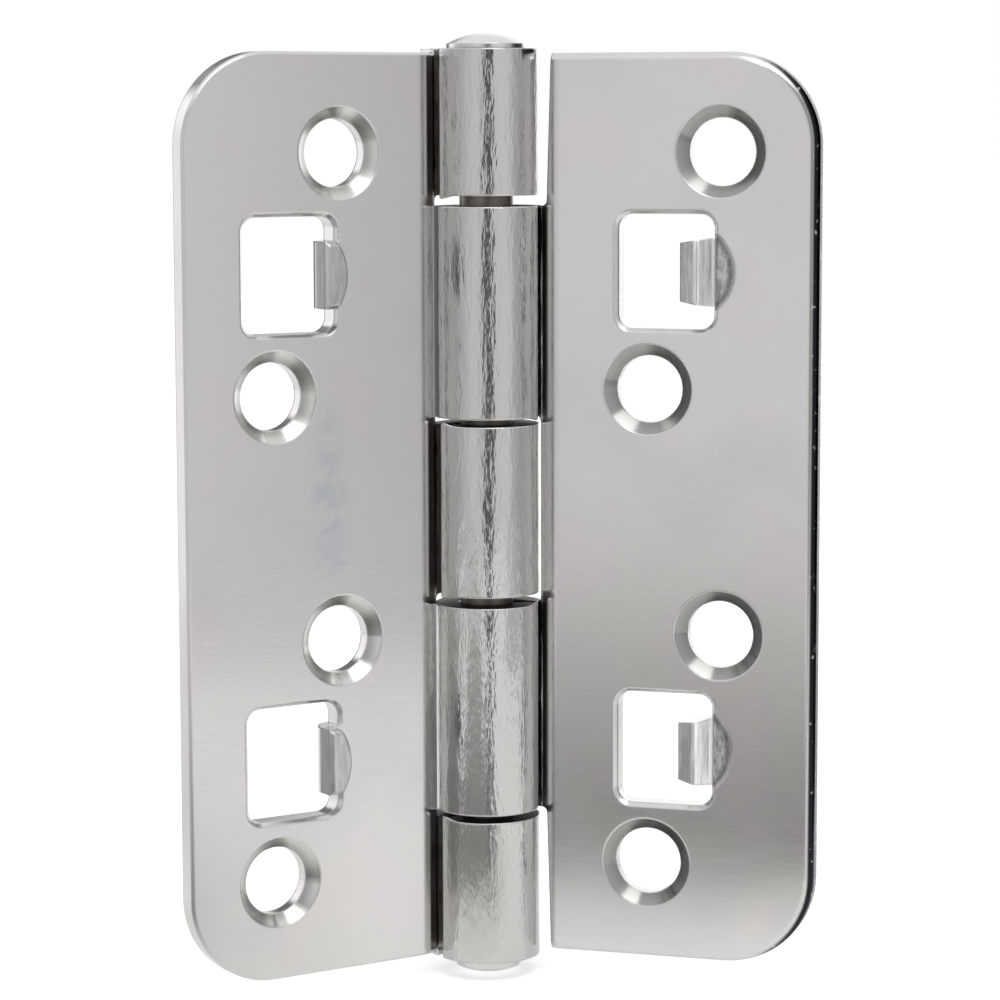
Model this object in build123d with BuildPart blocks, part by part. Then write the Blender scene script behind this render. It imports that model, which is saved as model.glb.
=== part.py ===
"""Steel butt hinge with rolled knuckles, a riveted pin and bent security tabs, standing part open.

The frame leaf lies in the XZ plane. Its fixing face is at Y = 0 and looks along +Y, its countersunk
front looks along -Y, and the origin is the middle of the fixing face's height, halfway between its two
rows of screws. The pin stands along +Z. The door leaf goes out to +X, folded forward to -Y.

Each leaf is described the same way, whichever side it is on: d is the distance from the pin axis along
the leaf, n the distance towards its front, and s the distance along its front face, across d.
"""
import os
from math import asin, atan2, cos, degrees, hypot, radians, sin

from build123d import *

# Leaves
LEAF_HEIGHT = 102.0
LEAF_REACH = 37.6  # pin axis to outer edge
SHEET = 2.6
CORNER_RADIUS = 10.2
FRONT_SETBACK = 0.8  # front face behind the pin axis, half the gap between the shut leaves
OPEN_ANGLE = 130.8  # between the two fronts, as stored
FIXING_CENTRE = 22.5  # pin axis to the origin
DOOR_ROLL_OVER = 1.0  # rounding that the punch leaves along the door leaf's front edges
FRAME_BREAK = 0.4  # the frame leaf's back edges
BROKEN_EDGE = 0.25  # the edges of the other sides

# Barrel
PIN_RADIUS = 3.0
PIN_CLEARANCE = 0.3
CRANK_START = 8.2  # d where the sheet starts to bend back
CRANK_RADIUS = 0.5  # inside of that bend
ROLL_END_ANGLE = -4.0  # where the rolled edge stops, from the leaf's own direction
KNUCKLE_RISE = 0.45  # end knuckles beyond the leaf's ends
KNUCKLE_GAP = 1.0
DOOR_DROP = 0.2  # door leaf's knuckles stand this far below the middle of their gaps
OUTER_GAP = 34.75  # gaps above and below the middle of the barrel
INNER_GAP = 10.1
NOTCH_CLEARANCE = 0.05  # edge's d beyond the knuckles' radius; the crank adds to it
NOTCH_RADIUS = 0.6
END_NOTCH_CLEARANCE = 0.8  # door leaf's end notches, at their inner end
END_NOTCH_FLARE = 0.55  # and how far they open towards the leaf's ends
END_NOTCH_RADIUS = 1.3

# Pin ends
HEAD_RADIUS = 4.4
HEAD_RIM = 0.55
HEAD_HEIGHT = 1.75
TAIL_RADIUS = 3.65
TAIL_RIM = 1.3
TAIL_HEIGHT = 2.1

# Countersunk screw holes, in a zigzag of two rows
HOLE_RADIUS = 3.75
SINK_RADIUS = 5.1
SINK_ANGLE = 100.0
NEAR_ROW = 18.45  # d of the row by the barrel
FAR_ROW = 26.65
HOLE_OUTER = 40.05  # s of the end holes
HOLE_INNER = 13.7

# Square cut-outs that take the other leaf's tabs
CUTOUT_OFFSET = 26.85  # s of their middles
CUTOUT_HEIGHT = 12.7
CUTOUT_RADIUS = 1.6
CUTOUT_BREAK = 0.45  # their front edges
FRAME_CUTOUT = (19.0, 30.35)  # d of their two sides
DOOR_CUTOUT = (15.05, 25.95)

# Frame leaf's tabs: upright, flush with the barrel side of their cut-outs
FRAME_TAB_ANGLE = 90.0
FRAME_TAB_BEND = 0.5  # radius inside the bend
FRAME_TAB_LENGTH = 2.15  # straight part beyond the bend
FRAME_TAB_WIDTH = 7.3
FRAME_TAB_CURVE = 6.2  # radius of the tab's bowed barrel side
FRAME_TAB_BREAK = 0.45  # the other edges of its tip

# Door leaf's tabs: leaning over their cut-outs from the outer side
DOOR_TAB_ANGLE = 57.0
DOOR_TAB_BEND = 0.6
DOOR_TAB_LENGTH = 2.3
DOOR_TAB_WIDTH = 7.7
DOOR_TAB_TAPER = 0.6  # each side draws in by this at the tip
DOOR_TAB_ROUND = 0.5  # front edge of the tip
DOOR_TAB_ROOT = 0.3  # start of the bend, outside the cut-out

# Round mark that the bending tool leaves beside each of the door leaf's tabs
MARK_RADIUS = 5.4
MARK_REACH = 2.1  # beyond the bend
MARK_DEPTH = 0.15

# Values that follow
ROLL_INNER = PIN_RADIUS + PIN_CLEARANCE
ROLL_OUTER = ROLL_INNER + SHEET
BACK_SETBACK = FRONT_SETBACK + SHEET
NOTCH_EDGE = ROLL_OUTER + NOTCH_CLEARANCE
END_NOTCH_EDGE = ROLL_OUTER + END_NOTCH_CLEARANCE
HALF_HEIGHT = LEAF_HEIGHT / 2
HALF_BARREL = HALF_HEIGHT + KNUCKLE_RISE
PAST_BARREL = 2 * ROLL_OUTER  # reach of cuts that clear the whole barrel
AXIS = Vector(FIXING_CENTRE, -BACK_SETBACK, 0)
UP = Vector(0, 0, 1)
FOLD = radians(180 - OPEN_ANGLE)
FRAME_OUT = Vector(-1, 0, 0)
DOOR_OUT = Vector(cos(FOLD), -sin(FOLD), 0)

# Heights of the gaps between the knuckles, from the top
GAP_HEIGHTS = [OUTER_GAP, INNER_GAP, -INNER_GAP, -OUTER_GAP]


def section_plane(outward, along):
    """Plane across the pin: x is d, y is n, and z runs along the pin."""
    return Plane(AXIS, x_dir=outward, z_dir=along)


def face_plane(section):
    """Plane of the leaf's front face: x is d, y is s, and z looks out of the face."""
    return Plane(AXIS - section.y_dir * FRONT_SETBACK, x_dir=section.x_dir, z_dir=section.y_dir)


def rolled_section(section):
    """Section of a leaf: flat sheet, a crank to the back, and the roll round the pin over the front."""
    front_bend = CRANK_RADIUS + SHEET
    middle_bend = CRANK_RADIUS + SHEET / 2
    middle_roll = ROLL_INNER + SHEET / 2
    crank_y = -BACK_SETBACK - CRANK_RADIUS
    to_pin = degrees(atan2(-crank_y, -CRANK_START))
    crank = to_pin + degrees(asin((middle_bend + middle_roll) / hypot(CRANK_START, crank_y))) - 180
    roll_start = crank - 90
    wrap = 360 + roll_start - ROLL_END_ANGLE
    with BuildSketch(section) as sheet:
        with BuildLine():
            front = Line((LEAF_REACH, -FRONT_SETBACK), (CRANK_START, -FRONT_SETBACK))
            outer_crank = CenterArc((CRANK_START, crank_y), front_bend, 90, crank)
            inner_roll = CenterArc((0, 0), ROLL_INNER, roll_start, -wrap)
            Line(outer_crank @ 1, inner_roll @ 0)
            outer_roll = CenterArc((0, 0), ROLL_OUTER, roll_start, -wrap)
            Line(inner_roll @ 1, outer_roll @ 1)
            inner_crank = CenterArc((CRANK_START, crank_y), CRANK_RADIUS, 90, crank)
            Line(outer_roll @ 0, inner_crank @ 1)
            back = Line((CRANK_START, -BACK_SETBACK), (LEAF_REACH, -BACK_SETBACK))
            Line(back @ 1, front @ 0)
        make_face()
    return sheet.sketch


def blank_outline(face, notches, end_rise):
    """Outline of a leaf seen from the front, from the far side of the barrel to its rounded corners.

    A leaf with end knuckles has an end_rise, by which they stand beyond its ends.
    """
    with BuildSketch(face) as outline:
        with Locations(((LEAF_REACH - PAST_BARREL) / 2, 0)):
            Rectangle(LEAF_REACH + PAST_BARREL, LEAF_HEIGHT)
        fillet(outline.vertices().group_by(Axis.X)[-1], CORNER_RADIUS)
        for notch_corners in notches:
            with BuildLine():
                Polyline(*notch_corners, close=True)
            make_face(mode=Mode.SUBTRACT)
        corners = outline.vertices().filter_by_position(Axis.X, NOTCH_EDGE / 2, CRANK_START)
        end_corners = corners.filter_by(lambda corner: abs(corner.Y) > HALF_HEIGHT - NOTCH_RADIUS)
        fillet(corners - end_corners, NOTCH_RADIUS)
        fillet(end_corners, END_NOTCH_RADIUS)
        if end_rise:
            middle = (NOTCH_EDGE - PAST_BARREL) / 2
            with Locations((middle, -HALF_HEIGHT), (middle, HALF_HEIGHT)):
                Rectangle(NOTCH_EDGE + PAST_BARREL, 2 * end_rise)
    return outline.sketch


def notch(low, high, low_edge=NOTCH_EDGE, high_edge=NOTCH_EDGE):
    """Corners of a notch between two heights s, with the leaf's edge at each end of it."""
    return [(-PAST_BARREL, low), (low_edge, low), (high_edge, high), (-PAST_BARREL, high)]


def stamped_leaf(section, notches, end_rise, cutout, soft_side, soften, soft_size):
    """A rolled leaf with its notches, screw holes and cut-outs, before the tabs are bent up.

    The edges of one side, the back (0) or the front (-1), are softened more than the other side's.
    """
    face = face_plane(section)
    outward = Axis(AXIS, section.x_dir)
    to_front = Axis(AXIS, section.y_dir)
    near_low, near_high = (NEAR_ROW, -HOLE_OUTER), (NEAR_ROW, HOLE_INNER)
    far_low, far_high = (FAR_ROW, -HOLE_INNER), (FAR_ROW, HOLE_OUTER)
    with BuildPart() as leaf:
        extrude(rolled_section(section), amount=HALF_BARREL, both=True)
        extrude(blank_outline(face, notches, end_rise), amount=PAST_BARREL, both=True, mode=Mode.INTERSECT)
        chamfer(leaf.edges().group_by(outward)[-1].sort_by(to_front)[-1 - soft_side], BROKEN_EDGE)
        soften(leaf.edges().group_by(outward)[-1].sort_by(to_front)[soft_side], soft_size)
        with Locations(face):
            with Locations(near_low, near_high, far_low, far_high):
                CounterSinkHole(HOLE_RADIUS, SINK_RADIUS, counter_sink_angle=SINK_ANGLE)
        with BuildSketch(face):
            with Locations(*[(sum(cutout) / 2, s) for s in (-CUTOUT_OFFSET, CUTOUT_OFFSET)]):
                RectangleRounded(cutout[1] - cutout[0], CUTOUT_HEIGHT, CUTOUT_RADIUS)
        extrude(amount=-SHEET, mode=Mode.SUBTRACT)
        chamfer(leaf.edges(Select.LAST).group_by(to_front)[-1], CUTOUT_BREAK)
    return leaf.part


def tab_section(section, bend_d, side, angle, bend_radius, length):
    """Section of a tab bent up from d = bend_d, to the outer side (1) or the barrel side (-1)."""
    centre = (bend_d, bend_radius - FRONT_SETBACK)
    run = Vector(side * cos(radians(angle)), sin(radians(angle))) * length
    with BuildSketch(section) as tab:
        with BuildLine():
            inside = CenterArc(centre, bend_radius, -90, side * angle)
            outside = CenterArc(centre, bend_radius + SHEET, -90, side * angle)
            Polyline(inside @ 1, (inside @ 1) + run, (outside @ 1) + run, outside @ 1)
            Line(inside @ 0, outside @ 0)
        make_face()
    return tab.sketch


frame_section = section_plane(FRAME_OUT, UP)
door_section = section_plane(DOOR_OUT, -UP)

# On the frame leaf s runs down, on the door leaf it runs up
gap_tops = [z + KNUCKLE_GAP / 2 for z in GAP_HEIGHTS]
gap_feet = [z - KNUCKLE_GAP / 2 for z in GAP_HEIGHTS]
frame_notches = [notch(-gap_tops[0], -gap_feet[1]), notch(-gap_tops[2], -gap_feet[3])]
end_mouth = END_NOTCH_EDGE + END_NOTCH_FLARE
door_notches = [
    notch(gap_feet[0] - DOOR_DROP, HALF_HEIGHT, END_NOTCH_EDGE, end_mouth),
    notch(gap_feet[2] - DOOR_DROP, gap_tops[1] - DOOR_DROP),
    notch(-HALF_HEIGHT, gap_tops[3] - DOOR_DROP, end_mouth, END_NOTCH_EDGE),
]
frame_blank = stamped_leaf(
    frame_section, frame_notches, KNUCKLE_RISE, FRAME_CUTOUT, 0, chamfer, FRAME_BREAK
)
door_blank = stamped_leaf(door_section, door_notches, 0, DOOR_CUTOUT, -1, fillet, DOOR_ROLL_OVER)

# Tabs, each at mid-height before it is set in its leaf
frame_bend = FRAME_CUTOUT[0] - FRAME_TAB_BEND
with BuildPart() as frame_tab:
    extrude(
        tab_section(frame_section, frame_bend, 1, FRAME_TAB_ANGLE, FRAME_TAB_BEND, FRAME_TAB_LENGTH),
        amount=FRAME_TAB_WIDTH / 2,
        both=True,
    )
    with BuildSketch(face_plane(frame_section)):
        with Locations((frame_bend + FRAME_TAB_CURVE, 0)):
            Rectangle(2 * FRAME_TAB_CURVE, FRAME_TAB_WIDTH)
        with Locations((FRAME_CUTOUT[0] + FRAME_TAB_CURVE, 0)):
            Circle(FRAME_TAB_CURVE, mode=Mode.SUBTRACT)
    extrude(amount=2 * FRAME_TAB_LENGTH, mode=Mode.SUBTRACT)
    tip = frame_tab.faces().sort_by(Axis(AXIS, frame_section.y_dir))[-1]
    chamfer(tip.edges().filter_by(GeomType.LINE), FRAME_TAB_BREAK)

door_lean = radians(DOOR_TAB_ANGLE)
door_bend = DOOR_CUTOUT[1] + DOOR_TAB_ROOT
door_tip = door_bend - (DOOR_TAB_BEND + SHEET) * sin(door_lean) - DOOR_TAB_LENGTH * cos(door_lean)
with BuildPart() as door_tab:
    extrude(
        tab_section(door_section, door_bend, -1, DOOR_TAB_ANGLE, DOOR_TAB_BEND, DOOR_TAB_LENGTH),
        amount=DOOR_TAB_WIDTH / 2,
        both=True,
    )
    with BuildSketch(face_plane(door_section)):
        with BuildLine():
            half_root = DOOR_TAB_WIDTH / 2
            half_tip = half_root - DOOR_TAB_TAPER
            Polyline(
                (door_bend, -half_root),
                (door_bend, half_root),
                (door_tip, half_tip),
                (door_tip, -half_tip),
                close=True,
            )
        make_face()
    extrude(amount=DOOR_CUTOUT[1], both=True, mode=Mode.INTERSECT)
    fillet(door_tab.edges().filter_by(Axis.Z).sort_by(Axis(AXIS, door_section.y_dir))[-1], DOOR_TAB_ROUND)

# Frame leaf
with BuildPart() as frame_leaf:
    add(frame_blank)
    with Locations((0, 0, -CUTOUT_OFFSET), (0, 0, CUTOUT_OFFSET)):
        add(frame_tab.part)

# Door leaf
with BuildPart() as door_leaf:
    add(door_blank)
    with BuildSketch(face_plane(door_section)):
        mark_centre = door_bend + MARK_REACH - MARK_RADIUS
        with Locations((mark_centre, -CUTOUT_OFFSET), (mark_centre, CUTOUT_OFFSET)):
            Circle(MARK_RADIUS)
        with Locations((door_bend - MARK_RADIUS, 0)):
            Rectangle(2 * MARK_RADIUS, LEAF_HEIGHT, mode=Mode.SUBTRACT)
    extrude(amount=-MARK_DEPTH, mode=Mode.SUBTRACT)
    with Locations((0, 0, -CUTOUT_OFFSET), (0, 0, CUTOUT_OFFSET)):
        add(door_tab.part)

# Pin
with BuildPart() as hinge_pin:
    with BuildSketch(Plane(AXIS, x_dir=(1, 0, 0), z_dir=(0, -1, 0))):
        with BuildLine():
            top = (0, HALF_BARREL + HEAD_HEIGHT)
            foot = (0, -HALF_BARREL - TAIL_HEIGHT)
            head = TangentArc(top, (HEAD_RADIUS, HALF_BARREL + HEAD_RIM), tangent=(1, 0))
            tail = TangentArc(foot, (TAIL_RADIUS, -HALF_BARREL - TAIL_RIM), tangent=(1, 0))
            Polyline(
                head @ 1,
                (HEAD_RADIUS, HALF_BARREL),
                (PIN_RADIUS, HALF_BARREL),
                (PIN_RADIUS, -HALF_BARREL),
                (TAIL_RADIUS, -HALF_BARREL),
                tail @ 1,
            )
            Line(top, foot)
        make_face()
    revolve(axis=Axis(AXIS, UP))

os.makedirs("parts", exist_ok=True)
frame_leaf.part.label = "frame_leaf"
door_leaf.part.label = "door_leaf"
hinge_pin.part.label = "hinge_pin"
export_step(frame_leaf.part, "parts/frame_leaf.step")
export_step(door_leaf.part, "parts/door_leaf.step")
export_step(hinge_pin.part, "parts/hinge_pin.step")
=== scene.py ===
"""The looks of the security butt hinge: zinc-plated sheet and pin, a light tent and the photograph's camera."""

import math

import bpy
from mathutils import Euler, Matrix, Vector


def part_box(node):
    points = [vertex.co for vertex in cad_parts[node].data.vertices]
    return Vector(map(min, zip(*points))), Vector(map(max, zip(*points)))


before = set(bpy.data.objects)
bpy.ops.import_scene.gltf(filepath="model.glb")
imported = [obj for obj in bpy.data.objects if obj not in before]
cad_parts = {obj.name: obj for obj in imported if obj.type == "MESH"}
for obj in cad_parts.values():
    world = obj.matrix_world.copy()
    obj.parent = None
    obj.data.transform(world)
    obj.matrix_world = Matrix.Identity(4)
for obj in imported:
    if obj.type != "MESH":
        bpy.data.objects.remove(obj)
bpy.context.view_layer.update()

MM = 0.001

# The pin axis and how far the door leaf is folded towards the viewer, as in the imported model
AXIS = Vector((22.5, -3.4, 0.0)) * MM
DOOR_FOLD = 49.2

# The camera, found by fitting the leaves' edges and holes to the photograph
CAMERA_YAW = 32.6
CAMERA_PITCH = 6.78
CAMERA_ROLL = -0.14
CAMERA_FROM_AXIS = Vector((1.47, -363.93, 44.09)) * MM
FOCAL_PIXELS = 3236.0
IMAGE_PIXELS = 1000.0
SENSOR_WIDTH = 36.0

# Features that the materials follow, in millimetres; places on a leaf are (distance from the axis, height)
FRONT_FACE = -0.8
BARREL_EDGE = (6.0, 6.4)
RIM_RADIUS = 5.1
BORE_RADIUS = 3.75
FRAME_HOLES = ((18.45, 40.05), (26.65, 13.7), (18.45, -13.7), (26.65, -40.05))
DOOR_HOLES = ((26.65, 40.05), (18.45, 13.7), (26.65, -13.7), (18.45, -40.05))
MARK_CENTRES = ((22.95, 26.85), (22.95, -26.85))
MARK_RADIUS = 5.4
DOOR_BEND = 26.25
RIM_START = 29.0
SMUDGE_SQUASH = 0.22
SMUDGES = ((20.0, 0.4),)
PIN_PLATED = (50.4, 51.4)

# Colours of the plated sheet: its plain plate and worn places, painted shade for its countersinks, tabs, knuckle
# ends and forming marks' edges, a painted reflection for its rim; and of the pin
PLATE_GREEN, PLATE_WARM = (0.655, 0.668, 0.645, 1), (0.675, 0.655, 0.648, 1)
PLATE_CLOUD = (0.605, 0.625, 0.650, 1)
BARREL_GREY = (0.50, 0.50, 0.485, 1)
WORN_EDGE = (0.80, 0.80, 0.80, 1)
# Painted shade in the countersinks' throats
THROAT_PAINTED_SHADE = (0.20, 0.205, 0.19, 1)
# Painted shade on the tabs' outward-facing sides
TAB_OUTWARD_PAINTED_SHADE = (0.16, 0.165, 0.16, 1)
SMUDGE_BLUE = (0.53, 0.555, 0.61, 1)
NICK_BRIGHT = (0.88, 0.88, 0.87, 1)
# The forming marks' grey is crushed metal; the darker ring at their edge is painted shade
MARK_GREY, MARK_EDGE_PAINTED_SHADE = (0.22, 0.22, 0.205, 1), (0.12, 0.12, 0.115, 1)
# Black of the painted reflection on the door leaf's outer rim
RIM_PAINTED_REFLECTION = (0.020, 0.021, 0.026, 1)
# Painted shade on the knuckles' cut ends, in the gaps between the knuckles
CUT_END_PAINTED_SHADE = (0.10, 0.095, 0.085, 1)
PIN_BARE = ((0.16, 0.135, 0.115, 1), (0.26, 0.235, 0.21, 1))
PIN_BRIGHT = ((0.66, 0.66, 0.64, 1), (0.72, 0.72, 0.71, 1))

# Relief of the sheet in millimetres, and the radius over which its edges look rounded
GRAIN_HEIGHT = 0.003
WAVE_HEIGHT = 0.16
PEEL_HEIGHT = 0.075
NICK_DEPTH = 0.006
TAB_DEPTH = 0.012
MARK_DEPTH = 0.20
SHEET_BEVEL = 0.35
PIN_BEVEL = 0.15
PIN_RELIEF = 0.02

# The light tent round the object: its wall's tone by direction, 0 towards the camera, positive to its right
TENT_RADIUS = 0.32
TENT_TOP = 0.22
TENT_STEPS = 96
TENT_TONES = (
    (-90, 0.62), (-75, 0.50), (-55, 0.64), (-32, 0.83), (-22, 0.88), (-6, 0.70), (0.5, 0.12), (11, 0.12),
    (17, 0.84), (48, 0.90), (62, 0.64), (80, 0.50), (96, 0.40), (112, 0.12), (132, 0.08), (141, 1.5),
    (182, 1.2), (192, 0.18), (222, 0.15), (233, 1.5), (250, 1.2), (262, 0.80),
)
FLOOR_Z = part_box("hinge_pin")[0].z
FLOOR_HALF = 6.0
FLOOR_COLOUR = (0.84, 0.84, 0.83, 1)
FLOOR_GLOW_MIRRORED, FLOOR_GLOW_SEEN = 0.42, 0.64
WORLD_LIGHT = 0.48

# The grey card on the floor before the right leaf: its direction like the tent's, its tone by the distance in mm
CARD_DIRECTION = -31.0
CARD_START = -0.016
CARD_LENGTH = 0.33
CARD_HALF_WIDTH = 0.075
CARD_FADE_FROM = 0.045
CARD_TINT = (1.0, 0.985, 0.96)
CARD_TONES = (
    (0, 1.0), (18, 0.9), (38, 0.40), (55, 0.32), (80, 0.34), (150, 0.47), (270, 0.66), (330, 0.75),
)

# The plain cards: name, tone and corners in millimetres from the axis, x to the camera's right and y away from it
ON_FLOOR = FLOOR_Z / MM + 0.2
PLAIN_CARDS = (
    ("black_flag", 0.012, ((100, -16, -20), (100, 98, -20), (100, 98, 110), (100, -16, 110))),
    ("low_flag", 0.10, ((100, -16, -53), (100, 98, -53), (100, 98, -20), (100, -16, -20))),
    ("grey_flag", 0.66, ((-100, -60, -53), (-100, 17, -53), (-100, 17, 70), (-100, -60, 70))),
    ("dark_strip", 0.15, ((0.6, -38, ON_FLOOR), (7.2, -38, ON_FLOOR), (57, -318, ON_FLOOR), (8, -320, ON_FLOOR))),
    ("far_card", 0.64, ((138, -167, ON_FLOOR), (204, -43, ON_FLOOR), (314, -101, ON_FLOOR), (248, -225, ON_FLOOR))),
    ("front_panel", 3.0, ((-30, -205, 160), (150, -150, 160), (95, -85, 285), (-20, -115, 285))),
)
LAMP_PLACE = (0.15, -0.25, 0.9)
LAMP_SIZE = 0.7
LAMP_WATTS = 3.0


class Graph:
    """A node tree with one short call per node: inputs are values or the sockets they come from."""

    def __init__(self, tree):
        self.tree = tree
        tree.nodes.clear()

    def add(self, kind, inputs=None, output=0, **settings):
        node = self.tree.nodes.new("ShaderNode" + kind)
        for name, value in settings.items():
            setattr(node, name, value)
        for name, value in (inputs or {}).items():
            if isinstance(value, bpy.types.NodeSocket):
                self.tree.links.new(value, node.inputs[name])
            else:
                node.inputs[name].default_value = value
        return node.outputs[output]

    def math(self, operation, a, b=0.0, c=0.0):
        return self.add("Math", {0: a, 1: b, 2: c}, operation=operation)

    def times(self, a, b):
        return self.math("MULTIPLY", a, b)

    def ramp(self, value, low, high, to_low=0.0, to_high=1.0):
        """A smooth step of value from low to high, between to_low and to_high."""
        inputs = {"Value": value, "From Min": low, "From Max": high, "To Min": to_low, "To Max": to_high}
        return self.add("MapRange", inputs, interpolation_type="SMOOTHSTEP")

    def tones(self, value, stops):
        """A colour that follows value through stops, which are pairs of position and colour in rising order."""
        ramp = self.tree.nodes.new("ShaderNodeValToRGB")
        elements = ramp.color_ramp.elements
        while len(elements) < len(stops):
            elements.new(0.5)
        for element, (position, colour) in zip(elements, stops):
            element.position = position
            element.color = colour
        self.tree.links.new(value, ramp.inputs["Fac"])
        return ramp.outputs["Color"]

    def noise(self, vector, scale, detail=3.0, roughness=0.5):
        inputs = {"Vector": vector, "Scale": scale, "Detail": detail, "Roughness": roughness}
        return self.add("TexNoise", inputs)

    def stretch(self, vector, scale):
        """Coordinates scaled by a factor per axis."""
        return self.add("Mapping", {"Vector": vector, "Scale": scale})

    def mix(self, factor, a, b):
        return self.add("Mix", {0: factor, 6: a, 7: b}, output=2, data_type="RGBA")

    def blend(self, factor, a, b):
        return self.add("Mix", {0: factor, 2: a, 3: b}, data_type="FLOAT")

    def metal(self, colour, rough, normal):
        inputs = {"Base Color": colour, "Metallic": 1.0, "Roughness": rough, "Normal": normal}
        return self.add("BsdfPrincipled", inputs)

    def finish(self, shader, kind="Material"):
        out = self.tree.nodes.new("ShaderNodeOutput" + kind)
        self.tree.links.new(shader, out.inputs["Surface"])


def new_material(name):
    material = bpy.data.materials.new(name)
    material.use_nodes = True
    return material, Graph(material.node_tree)


def seen_background(graph):
    """1 for the rays that show the background: straight, mirrored or through glass."""
    path = graph.tree.nodes.new("ShaderNodeLightPath").outputs
    seen = graph.math("MAXIMUM", path["Is Camera Ray"], path["Is Glossy Ray"])
    return graph.math("MAXIMUM", seen, path["Is Transmission Ray"])


def spots(g, leaf, centres, radius, soft):
    """1 inside the circles about the centres, which are places on the leaf in millimetres."""
    mask = 0.0
    for distance, height in centres:
        offset = g.add("VectorMath", {0: leaf, 1: (distance * MM, 0, height * MM)}, operation="SUBTRACT")
        flat = g.add("VectorMath", {0: offset, 1: (1, 0, 1)}, operation="MULTIPLY")
        away = g.add("VectorMath", {0: flat}, output=1, operation="LENGTH")
        mask = g.math("MAXIMUM", mask, g.ramp(away, (radius - soft) * MM, radius * MM, 1.0, 0.0))
    return mask


def zinc_sheet(name, turn, front, seed, holes, sink_painted_shade, tab_painted_shading, marks, smudges, rim_painted_reflection):
    """Plated sheet: satin plate with faint grain and clouds, a peened barrel and worn edges, with painted shade in
    the countersinks, painted light and shade on the tabs, and painted shade on the knuckles' cut ends and at the
    forming marks' edges.

    turn is the leaf's direction about the pin and front the sign of its front side, so that the grain and the
    marks lie on the leaf. The last argument is how far the leaf's outer rim is darkened by a painted reflection,
    from 0 to 1."""
    material, g = new_material(name)
    coordinates = g.tree.nodes.new("ShaderNodeTexCoord").outputs
    place, own_normal = coordinates["Object"], coordinates["Normal"]
    leaf = g.add("Mapping", {"Vector": place, "Location": AXIS, "Rotation": (0, 0, math.radians(turn))},
                 vector_type="TEXTURE")
    seeded = g.add("VectorMath", {0: leaf, 1: (seed, seed, seed)}, operation="ADD")
    reach = g.add("SeparateXYZ", {0: leaf}, output=0)
    true_normal = g.tree.nodes.new("ShaderNodeNewGeometry").outputs["Normal"]

    # Where the barrel, its knuckles' cut ends, the countersinks, the tabs, the forming marks and the rim are
    across = g.add("VectorMath", {0: leaf, 1: (1, 1, 0)}, operation="MULTIPLY")
    radius = g.add("VectorMath", {0: across}, output=1, operation="LENGTH")
    barrel = g.ramp(radius, BARREL_EDGE[0] * MM, BARREL_EDGE[1] * MM, 1.0, 0.0)
    upright = g.math("ABSOLUTE", g.add("SeparateXYZ", {0: own_normal}, output=2))
    outward = (math.cos(math.radians(turn)), math.sin(math.radians(turn)), 0)
    outward = g.add("VectorMath", {0: own_normal, 1: outward}, output=1, operation="DOT_PRODUCT")
    cut_end = g.times(g.ramp(upright, 0.6, 0.9), barrel)
    ahead = g.times(g.add("SeparateXYZ", {0: leaf}, output=1), front)
    front_side = g.ramp(ahead, (FRONT_FACE - 1.6) * MM, (FRONT_FACE - 1.3) * MM)
    cone = g.math("SUBTRACT", front_side, spots(g, leaf, holes, BORE_RADIUS + 0.1, 0.06))
    cone = g.math("MAXIMUM", cone, 0.0)
    sink = g.times(spots(g, leaf, holes, RIM_RADIUS, 0.15), cone)
    throat = g.times(spots(g, leaf, holes, RIM_RADIUS - 0.3, 0.9), cone)
    tab = g.ramp(ahead, (FRONT_FACE + 0.05) * MM, (FRONT_FACE + 0.3) * MM)
    tab = g.times(tab, g.math("SUBTRACT", 1.0, barrel))
    past_bend = g.ramp(reach, (DOOR_BEND - 0.2) * MM, DOOR_BEND * MM)
    mark = g.times(spots(g, leaf, marks, MARK_RADIUS, 0.5), g.times(front_side, past_bend))
    mark_edge = g.math("SUBTRACT", mark, spots(g, leaf, marks, MARK_RADIUS - 0.1, 1.1))
    mark_edge = g.math("MAXIMUM", mark_edge, 0.0)
    rim = g.times(g.ramp(outward, 0.22, 0.55), g.ramp(reach, (RIM_START - 0.3) * MM, RIM_START * MM))

    clouds = g.noise(seeded, 55.0, 2.0)
    tint = g.noise(seeded, 90.0, 2.0)
    grain = g.noise(g.stretch(seeded, (300, 300, 6000)), 1.0, 3.0, 0.6)
    waves = g.noise(g.stretch(seeded, (260, 260, 90)), 1.0, 1.0)
    peel = g.noise(g.stretch(seeded, (1800, 1800, 430)), 1.0, 2.0, 0.6)
    crumbs = g.noise(g.stretch(seeded, (2600, 2600, 900)), 1.0, 3.0, 0.7)
    flow = g.noise(g.stretch(seeded, (1900, 1900, 260)), 1.0, 2.0, 0.6)
    smear = g.noise(g.stretch(seeded, (260, 260, 420)), 1.0, 4.0, 0.65)
    cells = g.add("TexVoronoi", {"Vector": seeded, "Scale": 170.0}, feature="F1")
    rare = g.ramp(g.noise(seeded, 90.0, 1.0), 0.60, 0.66)
    nicks = g.times(g.ramp(cells, 0.03, 0.09, 1.0, 0.0), rare)
    # Flecked strength of the painted reflection on the outer rim
    rim_reflection_flecks = g.ramp(g.noise(seeded, 1100.0, 2.0), 0.62, 0.70, rim_painted_reflection, rim_painted_reflection * 0.4)
    smudge = g.times(spots(g, g.stretch(leaf, (1, 1, SMUDGE_SQUASH)), smudges, 3.4, 2.6),
                     g.ramp(smear, 0.38, 0.62, 0.0, 0.75))

    soft_normal = g.add("Bevel", {"Radius": SHEET_BEVEL * MM}, samples=6)
    along = g.add("VectorMath", {0: soft_normal, 1: true_normal}, output=1, operation="DOT_PRODUCT")
    edge = g.ramp(along, 0.80, 0.985, 1.0, 0.0)
    worn = g.times(edge, g.ramp(g.noise(seeded, 600.0, 2.0), 0.35, 0.6))
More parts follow.
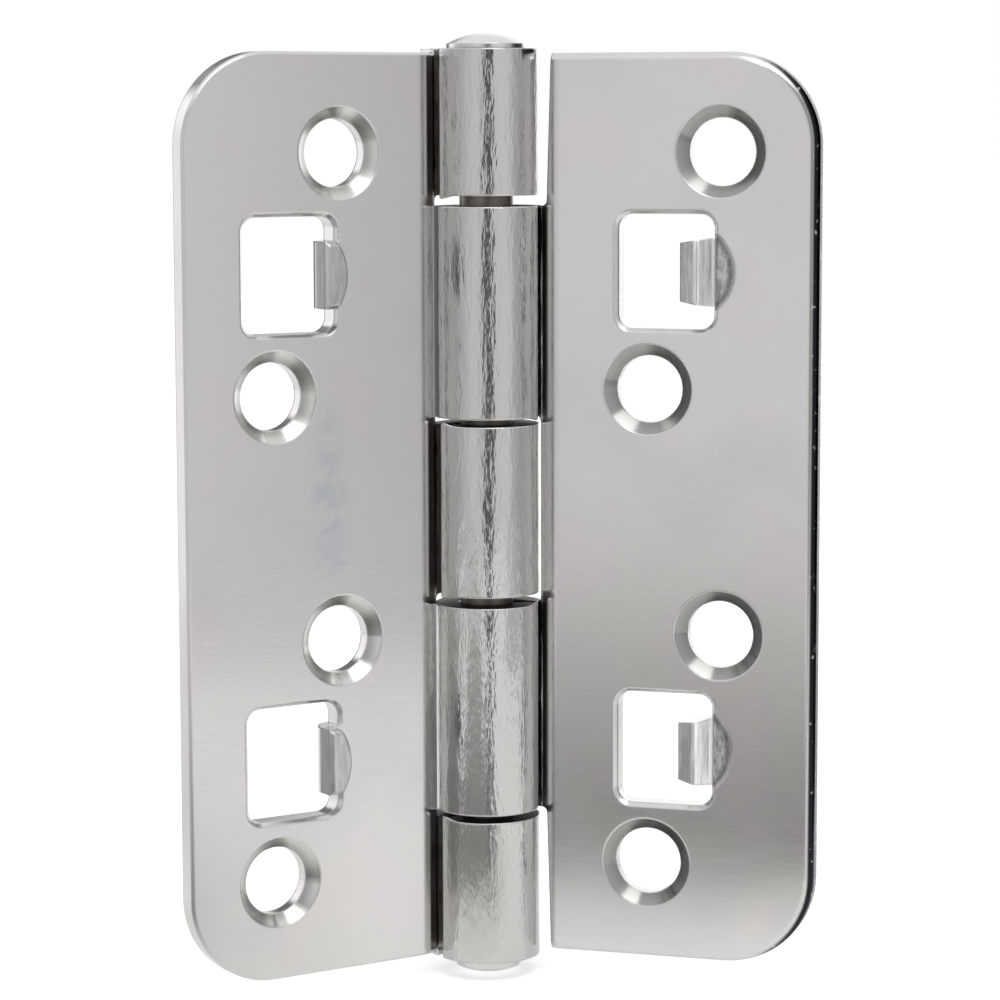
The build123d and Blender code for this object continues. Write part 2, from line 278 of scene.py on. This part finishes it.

    # Each layer covers those before it
    # Painted light and shade: each leaf's tabs get a tone of their own, varied by the flow noise
    tab_painted_dark, tab_painted_light = (tab_painted_shading * 0.85,) * 3 + (1,), (tab_painted_shading * 1.1,) * 3 + (1,)
    colour = g.mix(g.ramp(tint, 0.40, 0.62), PLATE_GREEN, PLATE_WARM)
    colour = g.mix(g.ramp(clouds, 0.50, 0.75, 0.0, 0.6), colour, PLATE_CLOUD)
    colour = g.mix(g.times(barrel, 0.6), colour, BARREL_GREY)
    colour = g.mix(g.times(worn, 0.5), colour, WORN_EDGE)
    # Painted shade: the countersinks are darkened to each leaf's own sink tone, their throats darker still
    colour = g.mix(sink, colour, (sink_painted_shade, sink_painted_shade * 1.015, sink_painted_shade * 0.97, 1))
    colour = g.mix(g.times(throat, 0.5), colour, THROAT_PAINTED_SHADE)
    colour = g.mix(tab, colour, g.mix(g.ramp(flow, 0.35, 0.65), tab_painted_dark, tab_painted_light))
    # Painted shade on the tabs' outward-facing sides
    colour = g.mix(g.times(tab, g.ramp(outward, 0.85, 0.97, 0.0, 0.75)), colour, TAB_OUTWARD_PAINTED_SHADE)
    colour = g.mix(g.times(smudge, front_side), colour, SMUDGE_BLUE)
    colour = g.mix(g.times(nicks, 0.6), colour, NICK_BRIGHT)
    colour = g.mix(g.times(mark, g.ramp(crumbs, 0.35, 0.65, 0.8, 0.0)), colour, MARK_GREY)
    # Painted shade along the forming marks' edge
    colour = g.mix(g.times(mark_edge, 0.85), colour, MARK_EDGE_PAINTED_SHADE)
    # Painted reflection: the outer rim is darkened towards black
    colour = g.mix(g.times(rim, rim_reflection_flecks), colour, RIM_PAINTED_REFLECTION)
    # Painted shade on the knuckles' cut ends
    colour = g.mix(cut_end, colour, CUT_END_PAINTED_SHADE)

    rough = g.ramp(clouds, 0.35, 0.7, 0.16, 0.21)
    rough = g.math("ADD", rough, g.ramp(grain, 0.3, 0.7, 0.0, 0.04))
    for mask, level in ((barrel, 0.12), (sink, 0.15), (tab, 0.22), (mark, 0.30), (cut_end, 0.50)):
        rough = g.blend(mask, rough, level)

    # Heights in millimetres
    round_part = g.math("ADD", g.times(waves, WAVE_HEIGHT), g.times(peel, PEEL_HEIGHT))
    relief = g.blend(barrel, g.times(grain, GRAIN_HEIGHT), round_part)
    relief = g.math("SUBTRACT", relief, g.times(nicks, NICK_DEPTH))
    relief = g.math("SUBTRACT", relief, g.times(tab, g.times(flow, TAB_DEPTH)))
    relief = g.math("SUBTRACT", relief, g.times(mark, g.times(crumbs, MARK_DEPTH)))
    normal = g.add("Bump", {"Strength": 1.0, "Distance": MM, "Height": relief, "Normal": soft_normal})

    g.finish(g.metal(colour, rough, normal))
    return material


def pin_steel():
    """The pin: plated and satin on its head and tail, bare dark steel with turning rings between them."""
    material, g = new_material("pin_steel")
    place = g.tree.nodes.new("ShaderNodeTexCoord").outputs["Object"]
    height = g.add("SeparateXYZ", {0: place}, output=2)
    plated = g.ramp(g.math("ABSOLUTE", height), PIN_PLATED[0] * MM, PIN_PLATED[1] * MM)
    clouds = g.noise(place, 260.0, 3.0)
    rings = g.noise(g.stretch(place, (40, 40, 5000)), 1.0, 2.0)
    pits = g.noise(place, 1500.0, 2.0)

    cloudy = g.ramp(clouds, 0.35, 0.65)
    colour = g.mix(plated, g.mix(cloudy, *PIN_BARE), g.mix(cloudy, *PIN_BRIGHT))
    rough = g.blend(plated, 0.38, g.ramp(clouds, 0.3, 0.7, 0.20, 0.30))
    relief = g.blend(plated, rings, g.times(pits, 0.8))
    soft_normal = g.add("Bevel", {"Radius": PIN_BEVEL * MM}, samples=4)
    bump = {"Strength": 0.4, "Distance": PIN_RELIEF * MM, "Height": relief, "Normal": soft_normal}
    g.finish(g.metal(colour, rough, g.add("Bump", bump)))
    return material


def dress(node, material):
    """Puts a material on every face of a CAD node."""
    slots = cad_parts[node].data.materials
    slots.clear()
    slots.append(material)


def mesh_object(name, points, faces, parent):
    mesh = bpy.data.meshes.new(name)
    mesh.from_pydata(points, [], faces)
    thing = bpy.data.objects.new(name, mesh)
    thing.parent = parent
    bpy.context.scene.collection.objects.link(thing)
    return thing


def only_in_reflections(thing):
    """The metal shows it, but neither the camera nor the lamps meet it."""
    thing.visible_camera = False
    thing.visible_shadow = False
    thing.visible_diffuse = False


def tent_wall(studio):
    """An upright wall round the object, light and dark by turns as the photographer's room was."""
    turns = [2 * math.pi * i / TENT_STEPS for i in range(TENT_STEPS)]
    points = [(TENT_RADIUS * math.cos(t), TENT_RADIUS * math.sin(t), z)
              for z in (FLOOR_Z, TENT_TOP) for t in turns]
    faces = []
    for i in range(TENT_STEPS):
        after = (i + 1) % TENT_STEPS
        faces.append((i, after, TENT_STEPS + after, TENT_STEPS + i))
    wall = mesh_object("tent_wall", points, faces, studio)
    material, g = new_material("tent_wall")
    place = g.tree.nodes.new("ShaderNodeTexCoord").outputs["Object"]
    turn = g.add("TexGradient", {"Vector": place}, output=1, gradient_type="RADIAL")
    stops = [((direction / 360 + 0.25) % 1.0, (tone, tone, tone, 1)) for direction, tone in TENT_TONES]
    g.finish(g.add("Emission", {"Color": g.tones(turn, stops), "Strength": 1.0}))
    wall.data.materials.append(material)
    only_in_reflections(wall)


def floor(studio):
    """A plain pale floor that reads white and keeps the object's shadow."""
    corners = ((-1, -1), (1, -1), (1, 1), (-1, 1))
    points = [(FLOOR_HALF * x, FLOOR_HALF * y, FLOOR_Z) for x, y in corners]
    ground = mesh_object("floor", points, [(0, 1, 2, 3)], studio)
    material, g = new_material("pale_floor")
    paper = g.add("BsdfDiffuse", {"Color": FLOOR_COLOUR})
    straight = g.tree.nodes.new("ShaderNodeLightPath").outputs["Is Camera Ray"]
    strength = g.times(seen_background(g), g.blend(straight, FLOOR_GLOW_MIRRORED, FLOOR_GLOW_SEEN))
    glow = g.add("Emission", {"Color": (1, 1, 1, 1), "Strength": strength})
    g.finish(g.add("AddShader", {0: paper, 1: glow}))
    ground.data.materials.append(material)


def shade_card(studio):
    """A grey card on the floor that only the metal shows: it darkens the foot of the right leaf."""
    half, length = CARD_HALF_WIDTH, CARD_LENGTH
    points = [(-half, 0, 0), (half, 0, 0), (half, -length, 0), (-half, -length, 0)]
    card = mesh_object("shade_card", points, [(0, 3, 2, 1)], studio)
    card.location = (0.0, CARD_START, ON_FLOOR * MM)
    card.rotation_euler = (0, 0, math.radians(CARD_DIRECTION))
    material, g = new_material("shade_card")
    place = g.add("SeparateXYZ", {0: g.tree.nodes.new("ShaderNodeTexCoord").outputs["Object"]})
    side = g.math("ABSOLUTE", place)
    ahead = g.times(place.node.outputs["Y"], -1.0 / length)
    stops = [(distance * MM / length, [tone * share for share in CARD_TINT] + [1])
             for distance, tone in CARD_TONES]
    grey = g.add("Emission", {"Color": g.tones(ahead, stops), "Strength": 1.0})
    clear = g.tree.nodes.new("ShaderNodeBsdfTransparent").outputs[0]
    g.finish(g.add("MixShader", {0: g.ramp(side, CARD_FADE_FROM, half), 1: grey, 2: clear}))
    card.data.materials.append(material)
    only_in_reflections(card)


def plain_card(studio, name, tone, corners):
    """A card of one tone that only the metal shows."""
    points = [[value * MM for value in corner] for corner in corners]
    card = mesh_object(name, points, [(0, 1, 2, 3)], studio)
    material, g = new_material(name)
    g.finish(g.add("Emission", {"Color": (tone, tone, tone, 1), "Strength": 1.0}))
    card.data.materials.append(material)
    only_in_reflections(card)


def white_world():
    """White where it is seen, at a plain level where it lights."""
    world = bpy.data.worlds.new("white_world")
    world.use_nodes = True
    g = Graph(world.node_tree)
    strength = g.blend(seen_background(g), WORLD_LIGHT, 1.0)
    g.finish(g.add("Background", {"Color": (1, 1, 1, 1), "Strength": strength}), "World")
    bpy.context.scene.world = world


def overhead_lamp(studio):
    """One large soft lamp above and before the object, which the metal doesn't mirror."""
    lamp = bpy.data.lights.new("overhead_lamp", "AREA")
    lamp.shape = "DISK"
    lamp.size = LAMP_SIZE
    lamp.energy = LAMP_WATTS
    thing = bpy.data.objects.new("overhead_lamp", lamp)
    thing.parent = studio
    thing.location = LAMP_PLACE
    thing.rotation_euler = (-Vector(LAMP_PLACE)).to_track_quat("-Z", "Y").to_euler()
    thing.visible_glossy = False
    bpy.context.scene.collection.objects.link(thing)


def photo_camera():
    lens = bpy.data.cameras.new("photo_camera")
    lens.sensor_width = SENSOR_WIDTH
    lens.lens = SENSOR_WIDTH * FOCAL_PIXELS / IMAGE_PIXELS
    lens.clip_start = 0.01
    lens.clip_end = 50.0
    camera = bpy.data.objects.new("photo_camera", lens)
    to_row = Matrix.Rotation(math.radians(-CAMERA_YAW), 3, "Z")
    camera.location = AXIS + to_row @ CAMERA_FROM_AXIS
    tilt = Matrix.Rotation(math.radians(90 - CAMERA_PITCH), 3, "X")
    roll = Matrix.Rotation(math.radians(CAMERA_ROLL), 3, "Z")
    camera.rotation_euler = (to_row @ tilt @ roll).to_euler()
    bpy.context.scene.collection.objects.link(camera)
    bpy.context.scene.camera = camera


def build_studio():
    """The floor, tent, cards, lamp and world, about the pin axis and facing the camera."""
    studio = bpy.data.objects.new("studio", None)
    studio.location = AXIS
    studio.rotation_euler = Euler((0, 0, math.radians(-CAMERA_YAW)))
    bpy.context.scene.collection.objects.link(studio)
    floor(studio)
    tent_wall(studio)
    shade_card(studio)
    for name, tone, corners in PLAIN_CARDS:
        plain_card(studio, name, tone, corners)
    overhead_lamp(studio)
    white_world()


dress("frame_leaf", zinc_sheet(
    "zinc_frame_leaf", turn=180.0, front=1.0, seed=0.37, holes=FRAME_HOLES, sink_painted_shade=0.60, tab_painted_shading=0.50,
    marks=(), smudges=SMUDGES, rim_painted_reflection=0.0))
dress("door_leaf", zinc_sheet(
    "zinc_door_leaf", turn=-DOOR_FOLD, front=-1.0, seed=1.91, holes=DOOR_HOLES, sink_painted_shade=0.33, tab_painted_shading=0.90,
    marks=MARK_CENTRES, smudges=(), rim_painted_reflection=1.0))
dress("hinge_pin", pin_steel())
build_studio()
photo_camera()
bpy.context.scene.view_settings.view_transform = "Standard"
